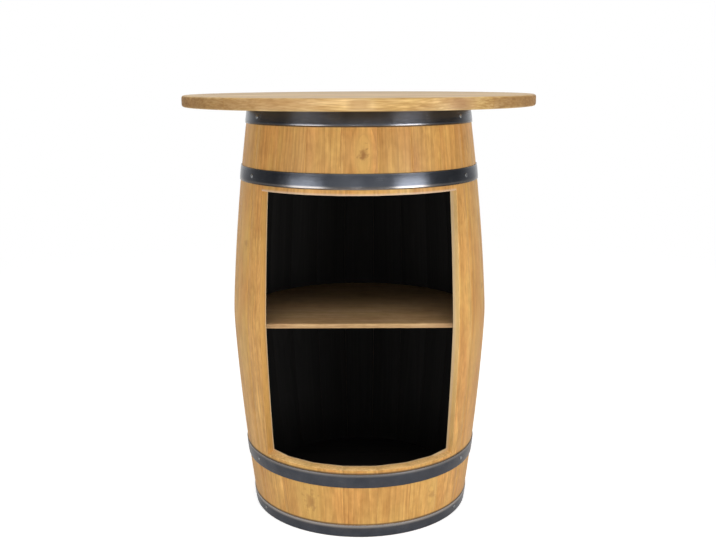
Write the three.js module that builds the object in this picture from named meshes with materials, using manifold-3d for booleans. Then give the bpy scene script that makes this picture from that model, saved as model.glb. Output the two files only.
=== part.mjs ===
// Barrel bar cabinet: a stave barrel with an open front, one shelf and a round table top.
// Millimetres, +Z up. The origin is on the floor under the barrel's axis and the open side faces -Y.
import * as THREE from "three";
import { mergeVertices } from "three/addons/utils/BufferGeometryUtils.js";
import Module from "manifold-3d";

const wasm = await Module();
wasm.setup();

// Barrel body
const barrelHeight = 825;
const bellyHeight = 410;
const bellyRadius = 260;
const endRadius = 222;
const bellyRounding = 20;
const wallThickness = 25;
const chimeBevel = 8;
const staveJointGap = 0.3;
const staveCount = 22;
const facetsPerStaveCount = 3;
const straightTaperShare = 0.52;
const ringShares = [0, 0.066, 0.175, 0.305, 0.46, 0.625, 0.805, 1];

// Opening in the front, with sides that splay outwards
const sillHeight = 145.5;
const lintelDepth = 153.5;
const openingHalfDegrees = 49.7;
const revealDegrees = 20;

// Heads, the two round boards held in grooves near the stave ends
const headThickness = 18;
const headTongueThickness = 8;
const headBevelRun = 14;
const crozeDepth = 6;
const chimeDepth = 22;
const seatGap = 0.3;

// Shelf and the cleats that carry it
const shelfHeight = 410;
const shelfThickness = 9;
const shelfFrontInset = 7;
const shelfWallGap = 1.5;
const shelfArcCount = 32;
const cleatHeight = 25;
const cleatDepth = 18;
const cleatWidthShare = 0.8;
const cleatStaveCount = 4;

// Hoops of riveted strip steel
const hoopThickness = 1.5;
const hoopGap = 0.3;
const hoopLap = 50;
const bottomHoopWidth = 26;
const bottomHoopHeight = 1;
const lowerHoopWidth = 29;
const lowerHoopHeight = 109;
const upperHoopWidth = 29;
const upperHoopDepth = 114;
const topHoopWidth = 29;
const topHoopDepth = 3;

// Rivets of the hoop laps and nails that hold the hoops on the staves
const rivetHeadRadius = 5;
const rivetHeadHeight = 2.2;
const rivetShankRadius = 2.4;
const rivetSpacingShare = 0.5;
const nailHeadRadius = 4;
const nailHeadHeight = 1.6;
const nailShankRadius = 1.6;
const nailLength = 16;
const nailDegrees = 58.6;
const fastenerGap = 0.3;
const fastenerSideCount = 10;
const boreSideCount = 8;
const domeStepCount = 3;

// Table top, the battens under it and their screws
const tableOverhang = 90;
const tableThickness = 22;
const tableEdgeRadius = 5;
const tableSideCount = 76;
const tableEdgeStepCount = 2;
const battenWidth = 50;
const battenSpacing = 180;
const battenEndGap = 3;
const screwSpacing = 200;
const screwLength = 55;
const screwShankRadius = 2.5;
const screwHeadRadius = 4.8;
const screwHeadHeight = 2.8;

// Reach of every cutting solid past what it cuts
const cutOverrun = 5;

const fullTurn = 2 * Math.PI;
const stavePitch = fullTurn / staveCount;
const facetPitch = stavePitch / facetsPerStaveCount;
const reveal = THREE.MathUtils.degToRad(revealDegrees);
const openingTop = barrelHeight - lintelDepth;
const openingHalfAngle = THREE.MathUtils.degToRad(openingHalfDegrees);
const tableRadius = bellyRadius + tableOverhang;

const pine = new THREE.MeshStandardMaterial({ color: 0xd0a064, roughness: 0.55, metalness: 0 });
const tablePine = new THREE.MeshStandardMaterial({ color: 0xdcb680, roughness: 0.5, metalness: 0 });
const stainedPine = new THREE.MeshStandardMaterial({ color: 0x1c1613, roughness: 0.7, metalness: 0 });
const shelfPine = new THREE.MeshStandardMaterial({ color: 0xb08e60, roughness: 0.55, metalness: 0 });
const hoopSteel = new THREE.MeshStandardMaterial({ color: 0x505356, roughness: 0.45, metalness: 0.85 });
const nailSteel = new THREE.MeshStandardMaterial({ color: 0x8a8d90, roughness: 0.35, metalness: 0.9 });

const cabinet = new THREE.Group();
cabinet.name = "barrel_bar_cabinet";

// The barrel's outer radius: partly a straight taper from the belly, partly a bow.
function bulgeRadius(height) {
  const rise = Math.abs(height - bellyHeight);
  const run = Math.hypot(rise, bellyRounding) - bellyRounding;
  const fullRun = Math.hypot(bellyHeight, bellyRounding) - bellyRounding;
  const bow = (rise / bellyHeight) ** 2;
  const taper = (straightTaperShare * run) / fullRun + (1 - straightTaperShare) * bow;
  return bellyRadius - (bellyRadius - endRadius) * taper;
}

const lowerRings = ringShares.map((share) => bellyHeight * (1 - share)).reverse();
const upperRings = ringShares.slice(1).map((share) => bellyHeight + (barrelHeight - bellyHeight) * share);
const ringHeights = [...lowerRings, ...upperRings];

// The outer radius on the faceted staves, straight from ring to ring.
function wallRadius(height) {
  const above = Math.max(1, ringHeights.findIndex((ring) => ring >= height));
  const low = ringHeights[above - 1];
  const high = ringHeights[above];
  const share = (height - low) / (high - low);
  return THREE.MathUtils.lerp(bulgeRadius(low), bulgeRadius(high), share);
}

function innerReach(height) {
  return wallRadius(height) - wallThickness;
}

// A closed body through rings of points, each ring counter-clockwise seen from its far end.
function loft(rings) {
  const size = rings[0].length;
  const points = rings.flat().flatMap((point) => [point.x, point.y, point.z]);
  const faces = [];
  for (let ring = 0; ring < rings.length - 1; ring++) {
    for (let corner = 0; corner < size; corner++) {
      const next = (corner + 1) % size;
      const near = ring * size;
      const far = near + size;
      faces.push(near + corner, near + next, far + next);
      faces.push(near + corner, far + next, far + corner);
    }
  }
  const last = (rings.length - 1) * size;
  for (let corner = 1; corner < size - 1; corner++) {
    faces.push(0, corner + 1, corner);
    faces.push(last, last + corner, last + corner + 1);
  }
  const geometry = new THREE.BufferGeometry();
  geometry.setAttribute("position", new THREE.Float32BufferAttribute(points, 3));
  geometry.setIndex(faces);
  geometry.computeVertexNormals();
  return geometry;
}

// A body turned about +Z from [radius, height] pairs that start and end on the axis.
function turned(outline, sides) {
  const profile = outline.map(([radius, height]) => new THREE.Vector2(radius, height));
  return new THREE.LatheGeometry(profile, sides).rotateX(Math.PI / 2);
}

function solidFrom(geometry) {
  const bare = geometry.clone();
  bare.deleteAttribute("normal");
  bare.deleteAttribute("uv");
  const merged = mergeVertices(bare);
  const vertProperties = merged.getAttribute("position").array;
  const triVerts = new Uint32Array(merged.index.array);
  return new wasm.Manifold(new wasm.Mesh({ numProp: 3, vertProperties, triVerts }));
}

function geometryFrom(solid) {
  const mesh = solid.getMesh();
  const geometry = new THREE.BufferGeometry();
  geometry.setAttribute("position", new THREE.BufferAttribute(mesh.vertProperties, mesh.numProp));
  geometry.setIndex(new THREE.BufferAttribute(mesh.triVerts, 1));
  geometry.computeVertexNormals();
  return geometry;
}

function addPart(group, name, geometry, material) {
  const part = new THREE.Mesh(geometry, material);
  part.name = name;
  group.add(part);
  return part;
}

function addGroup(parent, name) {
  const group = new THREE.Group();
  group.name = name;
  parent.add(group);
  return group;
}

// Hoops: each is a cone that lies on the staves between two heights.
function hoopCone(low, high) {
  const lowRadius = wallRadius(low);
  const highRadius = wallRadius(high);
  const bulges = ringHeights
    .filter((ring) => ring > low && ring < high)
    .map((ring) => {
      const share = (ring - low) / (high - low);
      return bulgeRadius(ring) - THREE.MathUtils.lerp(lowRadius, highRadius, share);
    });
  const lift = hoopGap + Math.max(0, ...bulges);
  return { low, high, lowRadius: lowRadius + lift, highRadius: highRadius + lift };
}

const upperHoopTop = barrelHeight - upperHoopDepth;
const topHoopTop = barrelHeight - topHoopDepth;
const hoops = [
  { name: "bottom_hoop", ...hoopCone(bottomHoopHeight, bottomHoopHeight + bottomHoopWidth) },
  { name: "lower_hoop", ...hoopCone(lowerHoopHeight, lowerHoopHeight + lowerHoopWidth) },
  { name: "upper_hoop", ...hoopCone(upperHoopTop - upperHoopWidth, upperHoopTop) },
  { name: "top_hoop", ...hoopCone(topHoopTop - topHoopWidth, topHoopTop) },
];

// Each hoop's ends lap at the back, from the joint beside the back stave onwards.
const lapStart = (Math.floor(staveCount / 2) - 0.5) * stavePitch;

function lapFacets(hoop) {
  return Math.max(2, Math.round(hoopLap / (facetPitch * hoop.lowRadius)));
}

// The strip runs once round the barrel and steps up by its own thickness onto its first end.
function hoopStrip(hoop) {
  const turnFacets = staveCount * facetsPerStaveCount;
  const step = hoopThickness + hoopGap;
  const rings = [];
  for (let facet = 0; facet <= turnFacets + lapFacets(hoop); facet++) {
    const angle = lapStart + facet * facetPitch;
    const lift = facet >= turnFacets ? step : 0;
    const corner = (radius, height) =>
      new THREE.Vector3(radius * Math.sin(angle), -radius * Math.cos(angle), height);
    rings.push([
      corner(hoop.lowRadius + lift, hoop.low),
      corner(hoop.highRadius + lift, hoop.high),
      corner(hoop.highRadius + lift + hoopThickness, hoop.high),
      corner(hoop.lowRadius + lift + hoopThickness, hoop.low),
    ]);
  }
  return loft(rings);
}

// The frame of a fastener at azimuth zero: its +Z is square to the hoop and points outwards.
function fastenerPlace(hoop, layers) {
  const slope = (hoop.highRadius - hoop.lowRadius) / (hoop.high - hoop.low);
  const outwards = new THREE.Vector3(0, -1, -slope).normalize();
  const radius = (hoop.lowRadius + hoop.highRadius) / 2 + layers * hoopThickness + (layers - 1) * hoopGap;
  const position = new THREE.Vector3(0, -radius, (hoop.low + hoop.high) / 2);
  const turn = new THREE.Quaternion().setFromUnitVectors(new THREE.Vector3(0, 0, 1), outwards);
  return { position, turn };
}

function domedFastener(headRadius, headHeight, shankRadius, length) {
  const outline = [[0, -length], [shankRadius, -length], [shankRadius, fastenerGap], [headRadius, fastenerGap]];
  for (let step = 1; step < domeStepCount; step++) {
    const angle = ((Math.PI / 2) * step) / domeStepCount;
    outline.push([headRadius * Math.cos(angle), fastenerGap + headHeight * Math.sin(angle)]);
  }
  outline.push([0, fastenerGap + headHeight]);
  return turned(outline, fastenerSideCount);
}

function fastenerHole(place, radius, length, azimuth) {
  const bore = radius + fastenerGap;
  const outline = [[0, -length - fastenerGap], [bore, -length - fastenerGap], [bore, cutOverrun], [0, cutOverrun]];
  const hole = turned(outline, boreSideCount).applyQuaternion(place.turn);
  hole.translate(place.position.x, place.position.y, place.position.z);
  return hole.rotateZ(azimuth);
}

function addFastener(group, name, geometry, place, azimuth) {
  const holder = addGroup(group, `${name}_place`);
  holder.rotation.z = azimuth;
  const part = addPart(holder, name, geometry, nailSteel);
  part.position.copy(place.position);
  part.quaternion.copy(place.turn);
}

function rivetAzimuths(hoop) {
  const lap = lapFacets(hoop) * facetPitch;
  const middle = lapStart + lap / 2;
  return [middle - (lap * rivetSpacingShare) / 2, middle + (lap * rivetSpacingShare) / 2];
}

const nailAngle = THREE.MathUtils.degToRad(nailDegrees);
const nailAzimuths = [-nailAngle, nailAngle];
const sideNames = ["left", "right"];

function addHoops() {
  const group = addGroup(cabinet, "hoops");
  const rivetLength = 2 * hoopThickness + hoopGap;
  const rivet = domedFastener(rivetHeadRadius, rivetHeadHeight, rivetShankRadius, rivetLength);
  const nail = domedFastener(nailHeadRadius, nailHeadHeight, nailShankRadius, nailLength);
  for (const hoop of hoops) {
    const rivetPlace = fastenerPlace(hoop, 2);
    const nailPlace = fastenerPlace(hoop, 1);
    let strip = solidFrom(hoopStrip(hoop));
    rivetAzimuths(hoop).forEach((azimuth, index) => {
      const reach = rivetLength + cutOverrun;
      strip = strip.subtract(solidFrom(fastenerHole(rivetPlace, rivetShankRadius, reach, azimuth)));
      addFastener(group, `${hoop.name}_rivet_${index + 1}`, rivet, rivetPlace, azimuth);
    });
    nailAzimuths.forEach((azimuth, index) => {
      strip = strip.subtract(solidFrom(fastenerHole(nailPlace, nailShankRadius, nailLength, azimuth)));
      addFastener(group, `${hoop.name}_nail_${sideNames[index]}`, nail, nailPlace, azimuth);
    });
    addPart(group, hoop.name, geometryFrom(strip), hoopSteel);
  }
}

// Heads: flat boards whose rims thin down to a tongue that sits in the staves' grooves.
const lowerHeadMiddle = chimeDepth + headThickness / 2;
const upperHeadMiddle = barrelHeight - lowerHeadMiddle;

function headOutline(middle, grow) {
  const rim = innerReach(middle) + crozeDepth - seatGap + grow;
  const flat = rim - headBevelRun;
  const half = headThickness / 2 + grow;
  const tongue = headTongueThickness / 2 + grow;
  return [
    [0, middle - half],
    [flat, middle - half],
    [rim, middle - tongue],
    [rim, middle + tongue],
    [flat, middle + half],
    [0, middle + half],
  ];
}

function headBoard(middle, grow) {
  return turned(headOutline(middle, grow), staveCount * facetsPerStaveCount);
}

// Staves: one section of a stave at azimuth zero, counter-clockwise seen from above.
function staveSection(height) {
  const outer = wallRadius(height);
  const endDistance = Math.min(height, barrelHeight - height);
  const inner = innerReach(height) + Math.max(0, chimeBevel - endDistance);
  const halfPitch = stavePitch / 2;
  const edge = halfPitch - Math.asin(staveJointGap / 2 / outer);
  const innerHalf = inner * Math.tan(halfPitch) - staveJointGap / 2 / Math.cos(halfPitch);
  const section = [];
  for (let facet = 0; facet <= facetsPerStaveCount; facet++) {
    const angle = edge * ((2 * facet) / facetsPerStaveCount - 1);
    section.push(new THREE.Vector3(outer * Math.sin(angle), -outer * Math.cos(angle), height));
  }
  section.push(new THREE.Vector3(innerHalf, -inner, height));
  section.push(new THREE.Vector3(-innerHalf, -inner, height));
  return section;
}

function wholeStave() {
  const heights = new Set([...ringHeights, chimeBevel, barrelHeight - chimeBevel]);
  const sections = [...heights].sort((a, b) => a - b).map(staveSection);
  const lowerGroove = solidFrom(headBoard(lowerHeadMiddle, seatGap));
  const upperGroove = solidFrom(headBoard(upperHeadMiddle, seatGap));
  return solidFrom(loft(sections)).subtract(lowerGroove).subtract(upperGroove);
}

// The block that the opening takes out of the front, turned into the frame of one stave.
function openingCutter(azimuth) {
  const half = wallRadius(sillHeight) * Math.sin(openingHalfAngle);
  const cornerReach = wallRadius(sillHeight) * Math.cos(openingHalfAngle);
  const front = bellyRadius + cutOverrun;
  const frontHalf = half + (front - cornerReach) * Math.tan(reveal);
  const rearHalf = half - cornerReach * Math.tan(reveal);
  const plan = new THREE.Shape();
  plan.moveTo(-rearHalf, 0);
  plan.lineTo(-frontHalf, -front);
  plan.lineTo(frontHalf, -front);
  plan.lineTo(rearHalf, 0);
  plan.closePath();
  const block = new THREE.ExtrudeGeometry(plan, { depth: openingTop - sillHeight, bevelEnabled: false });
  return block.translate(0, 0, sillHeight).rotateZ(-azimuth);
}

function staveName(index) {
  if (index === 0) return "stave_front";
  if (2 * index === staveCount) return "stave_back";
  return index < 0 ? `stave_left_${-index}` : `stave_right_${index}`;
}

function addStaves() {
  const group = addGroup(cabinet, "staves");
  const bareStave = wholeStave();
  const plainStave = geometryFrom(bareStave);
  const nailPlaces = hoops.map((hoop) => fastenerPlace(hoop, 1));
  const first = Math.floor(staveCount / 2) + 1 - staveCount;
  for (let index = first; index < first + staveCount; index++) {
    const azimuth = index * stavePitch;
    const fromNail = Math.sign(index) * nailAngle - azimuth;
    const isNailed = index !== 0 && Math.abs(fromNail) < stavePitch / 2;
    const isCut = Math.abs(azimuth) - stavePitch / 2 < openingHalfAngle;
    let whole = bareStave;
    for (const place of isNailed ? nailPlaces : []) {
      whole = whole.subtract(solidFrom(fastenerHole(place, nailShankRadius, nailLength, fromNail)));
    }
    if (!isCut) {
      const stave = addPart(group, staveName(index), isNailed ? geometryFrom(whole) : plainStave, pine);
      stave.rotation.z = azimuth;
      continue;
    }
    const cut = whole.subtract(solidFrom(openingCutter(azimuth)));
    for (const body of cut.decompose()) {
      const bounds = body.boundingBox();
      const isLower = bounds.max[2] <= openingTop;
      const isUpper = bounds.min[2] >= sillHeight;
      const prefix = isLower ? "lower_" : isUpper ? "upper_" : "";
      const stave = addPart(group, prefix + staveName(index), geometryFrom(body), pine);
      stave.rotation.z = azimuth;
    }
  }
}

// Table top, battens and screws
const tableBottom = barrelHeight;
const tableTop = tableBottom + tableThickness;
const upperHeadTop = upperHeadMiddle + headThickness / 2;
const upperHeadBottom = upperHeadMiddle - headThickness / 2;
const screwTip = upperHeadBottom + screwLength;

const screwOutline = [
  [0, upperHeadBottom],
  [screwHeadRadius, upperHeadBottom],
  [screwShankRadius, upperHeadBottom + screwHeadHeight],
  [screwShankRadius, screwTip],
  [0, screwTip],
];

const screwHoleOutline = [
  [0, upperHeadBottom - cutOverrun],
  [screwHeadRadius + fastenerGap, upperHeadBottom - cutOverrun],
  [screwHeadRadius + fastenerGap, upperHeadBottom],
  [screwShankRadius + fastenerGap, upperHeadBottom + screwHeadHeight],
  [screwShankRadius + fastenerGap, screwTip + fastenerGap],
  [0, screwTip + fastenerGap],
];

function screwPlaces() {
  const places = [];
  for (const x of [-battenSpacing / 2, battenSpacing / 2]) {
    for (const y of [-screwSpacing / 2, screwSpacing / 2]) places.push([x, y]);
  }
  return places;
}

function drilled(geometry) {
  const holes = screwPlaces().map(([x, y]) =>
    solidFrom(turned(screwHoleOutline, fastenerSideCount).translate(x, y, 0)),
  );
  return geometryFrom(holes.reduce((board, hole) => board.subtract(hole), solidFrom(geometry)));
}

function tableBoard() {
  const flat = tableRadius - tableEdgeRadius;
  const outline = [[0, tableBottom]];
  for (let step = 0; step <= tableEdgeStepCount; step++) {
    const angle = ((Math.PI / 2) * step) / tableEdgeStepCount;
    const out = flat + tableEdgeRadius * Math.sin(angle);
    outline.push([out, tableBottom + tableEdgeRadius * (1 - Math.cos(angle))]);
  }
  for (let step = tableEdgeStepCount; step >= 0; step--) {
    const angle = ((Math.PI / 2) * step) / tableEdgeStepCount;
    const out = flat + tableEdgeRadius * Math.sin(angle);
    outline.push([out, tableTop - tableEdgeRadius * (1 - Math.cos(angle))]);
  }
  outline.push([0, tableTop]);
  return turned(outline, tableSideCount);
}

function battenBoard(x) {
  const thickness = tableBottom - upperHeadTop;
  const reach = innerReach(upperHeadTop) - battenEndGap;
  const endReach = innerReach(barrelHeight) - battenEndGap;
  const outerSide = Math.abs(x) + battenWidth / 2;
  const halfLength = Math.sqrt(Math.min(reach, endReach) ** 2 - outerSide ** 2);
  const board = new THREE.BoxGeometry(battenWidth, 2 * halfLength, thickness);
  return board.translate(x, 0, upperHeadTop + thickness / 2);
}

function addTop() {
  const group = addGroup(cabinet, "top");
  addPart(group, "table_top", drilled(tableBoard()), tablePine);
  addPart(group, "top_batten_left", drilled(battenBoard(-battenSpacing / 2)), pine);
  addPart(group, "top_batten_right", drilled(battenBoard(battenSpacing / 2)), pine);
  const screwBody = turned(screwOutline, fastenerSideCount);
  screwPlaces().forEach(([x, y], index) => {
    const screw = addPart(group, `top_screw_${index + 1}`, screwBody, nailSteel);
    screw.position.set(x, y, 0);
  });
}

function addHeads() {
  const group = addGroup(cabinet, "heads");
  addPart(group, "lower_head", headBoard(lowerHeadMiddle, 0), stainedPine);
  addPart(group, "upper_head", drilled(headBoard(upperHeadMiddle, 0)), stainedPine);
}

// Shelf: straight in front, just behind the sides of the opening, round behind, on three cleats.
const shelfBottom = shelfHeight - shelfThickness;
const shelfFrontReach = innerReach(shelfHeight) * Math.cos(openingHalfAngle) - shelfFrontInset;

function shelfBoard() {
  const radius = Math.min(innerReach(shelfBottom), innerReach(shelfHeight)) - shelfWallGap;
  const halfFront = Math.sqrt(radius ** 2 - shelfFrontReach ** 2);
  const frontAngle = Math.asin(shelfFrontReach / radius);
  const plan = new THREE.Shape();
  plan.moveTo(-halfFront, -shelfFrontReach);
  plan.lineTo(halfFront, -shelfFrontReach);
  plan.absarc(0, 0, radius, -frontAngle, Math.PI + frontAngle, false);
  const settings = { depth: shelfThickness, bevelEnabled: false, curveSegments: shelfArcCount };
  return new THREE.ExtrudeGeometry(plan, settings).translate(0, 0, shelfBottom);
}

function cleatSection(height) {
  const back = innerReach(height) - seatGap;
  const front = innerReach(shelfBottom - cleatHeight) - seatGap - cleatDepth;
  const halfWidth = cleatWidthShare * innerReach(shelfBottom) * Math.tan(stavePitch / 2);
  return [
    new THREE.Vector3(-halfWidth, -back, height),
    new THREE.Vector3(halfWidth, -back, height),
    new THREE.Vector3(halfWidth, -front, height),
    new THREE.Vector3(-halfWidth, -front, height),
  ];
}

function addShelf() {
  const group = addGroup(cabinet, "shelf_and_cleats");
  addPart(group, "shelf", shelfBoard(), shelfPine);
  const cleat = loft([cleatSection(shelfBottom - cleatHeight), cleatSection(shelfBottom)]);
  const sideAngle = cleatStaveCount * stavePitch;
  const places = { left: -sideAngle, right: sideAngle, back: Math.PI };
  for (const [side, azimuth] of Object.entries(places)) {
    addPart(group, `shelf_cleat_${side}`, cleat, stainedPine).rotation.z = azimuth;
  }
}

addStaves();
addHoops();
addHeads();
addShelf();
addTop();

export default cabinet;
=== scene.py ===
import math

import bmesh
import bpy
from mathutils import Matrix, Vector


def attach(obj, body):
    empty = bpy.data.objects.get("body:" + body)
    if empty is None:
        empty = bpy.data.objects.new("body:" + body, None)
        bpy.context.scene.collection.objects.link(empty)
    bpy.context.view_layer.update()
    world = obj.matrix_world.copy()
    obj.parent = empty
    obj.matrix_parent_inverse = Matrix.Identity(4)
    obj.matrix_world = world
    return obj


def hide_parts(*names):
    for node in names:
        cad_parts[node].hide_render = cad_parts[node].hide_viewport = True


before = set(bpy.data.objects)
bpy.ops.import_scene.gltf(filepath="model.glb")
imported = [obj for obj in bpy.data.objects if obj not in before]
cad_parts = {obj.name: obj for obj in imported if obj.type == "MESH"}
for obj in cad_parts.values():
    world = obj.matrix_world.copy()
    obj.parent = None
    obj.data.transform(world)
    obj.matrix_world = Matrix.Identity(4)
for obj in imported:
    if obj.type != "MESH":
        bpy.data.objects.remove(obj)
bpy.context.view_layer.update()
print("frame loaded:", len(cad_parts), "nodes")

# Metres: the barrel stands on the floor round the Z axis, and its open side faces -Y
barrel = {
    "height": 0.825,
    "bellyHeight": 0.41,
    "bellyRadius": 0.26,
    "endRadius": 0.222,
    "bellyRounding": 0.02,
    "straightShare": 0.52,  # of the narrowing, the rest of it is bowed
    "wall": 0.025,
    "staveCount": 22,
}
fullHeight = barrel["height"]
bellyHeight = barrel["bellyHeight"]
wall = barrel["wall"]
stavePitch = 2 * math.pi / barrel["staveCount"]
narrowing = barrel["bellyRadius"] - barrel["endRadius"]
fullRun = math.hypot(bellyHeight, barrel["bellyRounding"]) - barrel["bellyRounding"]


def bulgeRadius(height):
    rise = abs(height - bellyHeight)
    run = math.hypot(rise, barrel["bellyRounding"]) - barrel["bellyRounding"]
    straight = barrel["straightShare"] * run / fullRun
    bow = (1 - barrel["straightShare"]) * (rise / bellyHeight) ** 2
    return barrel["bellyRadius"] - narrowing * (straight + bow)


opening = {
    "sill": 0.1455,
    "lintel": 0.6715,
    "halfDegrees": 49.7,
    "revealDegrees": 20,
    "arris": 0.0012,
    "sideArris": 0.00096,
    "blockFront": 0.3,
}
openingMiddle = (opening["sill"] + opening["lintel"]) / 2
openingHeight = opening["lintel"] - opening["sill"]
openingSlope = math.tan(math.radians(opening["revealDegrees"]))


# Half the opening's width: its side planes pass the sill's outer corner and splay outwards
def openingHalf(y):
    radius = bulgeRadius(opening["sill"])
    angle = math.radians(opening["halfDegrees"])
    return radius * math.sin(angle) + (-y - radius * math.cos(angle)) * openingSlope


# The stain inside follows the staves' sizes as well
stave = {
    "jointGap": 0.0002,
    "columns": 6,
    "chimeBevel": 0.008,
    "crozeMiddle": 0.031,
    "crozeMouth": 0.00644,
    "crozeFloor": 0.0043,
    "crozeDepth": 0.006,
    "arris": 0.0003,
    "rises": (0, 0.006, 0.013, 0.022, 0.034, 0.05, 0.072, 0.1, 0.135, 0.175, 0.22, 0.265, 0.31, 0.35),
}


# Modelling helpers

samePlace = 0.00001
sameAngle = 0.0001


def isAt(value, wanted, within=samePlace):
    return abs(value - wanted) < within


def clearSelection():
    if bpy.context.object and bpy.context.object.mode != "OBJECT":
        bpy.ops.object.mode_set(mode="OBJECT")
    bpy.ops.object.select_all(action="DESELECT")


def activate(piece):
    clearSelection()
    bpy.context.view_layer.objects.active = piece
    piece.select_set(True)


def startEdit(piece):
    activate(piece)
    bpy.ops.object.mode_set(mode="EDIT")
    bpy.ops.mesh.select_mode(type="VERT")


def endEdit():
    bpy.ops.object.mode_set(mode="OBJECT")


def applyPlace(piece):
    activate(piece)
    bpy.ops.object.transform_apply(location=True, rotation=True, scale=True)


def turnPiece(piece, angle):
    piece.rotation_euler = (0, 0, angle)
    applyPlace(piece)


def pick(piece, kind, isWanted):
    bpy.ops.mesh.select_mode(type=kind)
    bpy.ops.mesh.select_all(action="DESELECT")
    mesh = bmesh.from_edit_mesh(piece.data)
    for part in {"VERT": mesh.verts, "EDGE": mesh.edges, "FACE": mesh.faces}[kind]:
        part.select = isWanted(part)
    mesh.select_flush_mode()
    bmesh.update_edit_mesh(piece.data)


def pickVerts(piece, isWanted):
    pick(piece, "VERT", lambda vert: isWanted(vert.co))


# Edges whose ends are both wanted and which run as wanted
def pickEdges(piece, isEnd, runs):
    def isWanted(edge):
        a, b = [vert.co for vert in edge.verts]
        return isEnd(a) and isEnd(b) and runs(a, b)

    pick(piece, "EDGE", isWanted)


def pickFaces(piece, isWanted):
    pick(piece, "FACE", lambda face: isWanted(face.calc_center_median(), face.normal))


def selectAll():
    bpy.ops.mesh.select_all(action="SELECT")


def cutAt(point, normal, keepBelow=False, keepAbove=False):
    selectAll()
    bpy.ops.mesh.bisect(
        plane_co=point,
        plane_no=normal,
        use_fill=keepBelow or keepAbove,
        clear_outer=keepBelow,
        clear_inner=keepAbove,
    )


def cutLevel(level, keepBelow=False, keepAbove=False):
    cutAt((0, 0, level), (0, 0, 1), keepBelow, keepAbove)


def moveBy(x, y, z):
    bpy.ops.transform.translate(value=(x, y, z))


def stretch(x, y, z, centre=(0, 0, 0)):
    bpy.ops.transform.resize(value=(x, y, z), center_override=centre)


def bevelEdges(offset, segments):
    bpy.ops.mesh.bevel(offset=offset, segments=segments, affect="EDGES")


def spinRound(steps, angle):
    bpy.ops.mesh.spin(steps=steps, angle=angle, center=(0, 0, 0), axis=(0, 0, 1))


def tidyMesh(threshold=0.000001):
    selectAll()
    bpy.ops.mesh.remove_doubles(threshold=threshold)
    bpy.ops.mesh.normals_make_consistent(inside=False)


def smoothByAngle(piece, degrees=35):
    activate(piece)
    bpy.ops.object.shade_smooth_by_angle(angle=math.radians(degrees))


def closeEdit(piece, degrees=35, threshold=0.000001):
    tidyMesh(threshold)
    endEdit()
    smoothByAngle(piece, degrees)
    return piece


# An upright strip across the wall, to be shaped and spun
def addProfile(name, low, high, reach, thickness):
    middle = (low + high) / 2
    bpy.ops.mesh.primitive_plane_add(size=1, location=(0, -reach, middle), rotation=(0, math.pi / 2, 0))
    piece = bpy.context.object
    piece.name = name
    piece.scale = (high - low, thickness, 1)
    applyPlace(piece)
    return piece


def addDisc(name, sides, radius, thickness, middle):
    place = (0, 0, middle)
    bpy.ops.mesh.primitive_cylinder_add(vertices=sides, radius=radius, depth=thickness, location=place)
    piece = bpy.context.object
    piece.name = name
    applyPlace(piece)
    return piece


def addToScene(thing):
    bpy.context.scene.collection.objects.link(thing)


def addCopy(piece, name, turn=0):
    copied = piece.copy()
    copied.data = piece.data.copy()
    copied.name = name
    copied.data.name = name
    addToScene(copied)
    turnPiece(copied, turn)
    return copied


def removePiece(piece):
    bpy.data.objects.remove(piece, do_unlink=True)


def dress(mesh, material):
    mesh.materials.clear()
    mesh.materials.append(material)


def finishPiece(piece, material, slotName, *nodes):
    dress(piece.data, material)
    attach(piece, "root")
    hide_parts(*nodes)


def camelName(node):
    words = node.split("_")
    return words[0] + "".join(word.capitalize() for word in words[1:])


# Material helpers

def feed(tree, node, given):
    for name, value in given.items():
        if isinstance(value, bpy.types.NodeSocket):
            tree.links.new(value, node.inputs[name])
        else:
            node.inputs[name].default_value = value


def addNode(tree, kind, given, **settings):
    node = tree.nodes.new("ShaderNode" + kind)
    for name, value in settings.items():
        setattr(node, name, value)
    feed(tree, node, given)
    return node


def newMaterial(name):
    material = bpy.data.materials.new(name)
    material.use_nodes = True
    tree = material.node_tree
    tree.nodes.clear()
    shader = addNode(tree, "BsdfPrincipled", {})
    addNode(tree, "OutputMaterial", {"Surface": shader.outputs["BSDF"]})
    return material, tree, shader


def maths(tree, operation, *values):
    return addNode(tree, "Math", dict(enumerate(values)), operation=operation).outputs[0]


def plus(tree, first, second):
    return maths(tree, "ADD", first, second)


def minus(tree, first, second):
    return maths(tree, "SUBTRACT", first, second)


def times(tree, first, second):
    return maths(tree, "MULTIPLY", first, second)


def timesPlus(tree, first, second, third):
    return maths(tree, "MULTIPLY_ADD", first, second, third)


def apartFrom(tree, first, second):
    return maths(tree, "ABSOLUTE", minus(tree, first, second))


def combined(tree, *parts):
    return addNode(tree, "CombineXYZ", dict(enumerate(parts))).outputs[0]


def separated(tree, vector):
    return addNode(tree, "SeparateXYZ", {0: vector}).outputs


def vectorMaths(tree, operation, *values):
    node = addNode(tree, "VectorMath", dict(enumerate(values)), operation=operation)
    return node.outputs["Value" if operation in ("LENGTH", "DISTANCE", "DOT_PRODUCT") else "Vector"]


def noise(tree, vector, scale=1, detail=2, roughness=0.5):
    given = {"Vector": vector, "Scale": scale, "Detail": detail, "Roughness": roughness}
    return addNode(tree, "TexNoise", given).outputs


def ranged(tree, value, low, high, newLow=0, newHigh=1, kind="LINEAR"):
    names = ("Value", "From Min", "From Max", "To Min", "To Max")
    given = dict(zip(names, (value, low, high, newLow, newHigh)))
    return addNode(tree, "MapRange", given, interpolation_type=kind).outputs[0]


def smoothed(tree, value, low, high, newLow=0, newHigh=1):
    return ranged(tree, value, low, high, newLow, newHigh, "SMOOTHSTEP")


def blended(tree, share, first, second, mode="MIX"):
    given = {0: share, 6: first, 7: second}
    return addNode(tree, "Mix", given, data_type="RGBA", blend_type=mode).outputs[2]


def objectPlace(tree):
    return addNode(tree, "TexCoord", {}).outputs["Object"]


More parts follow.
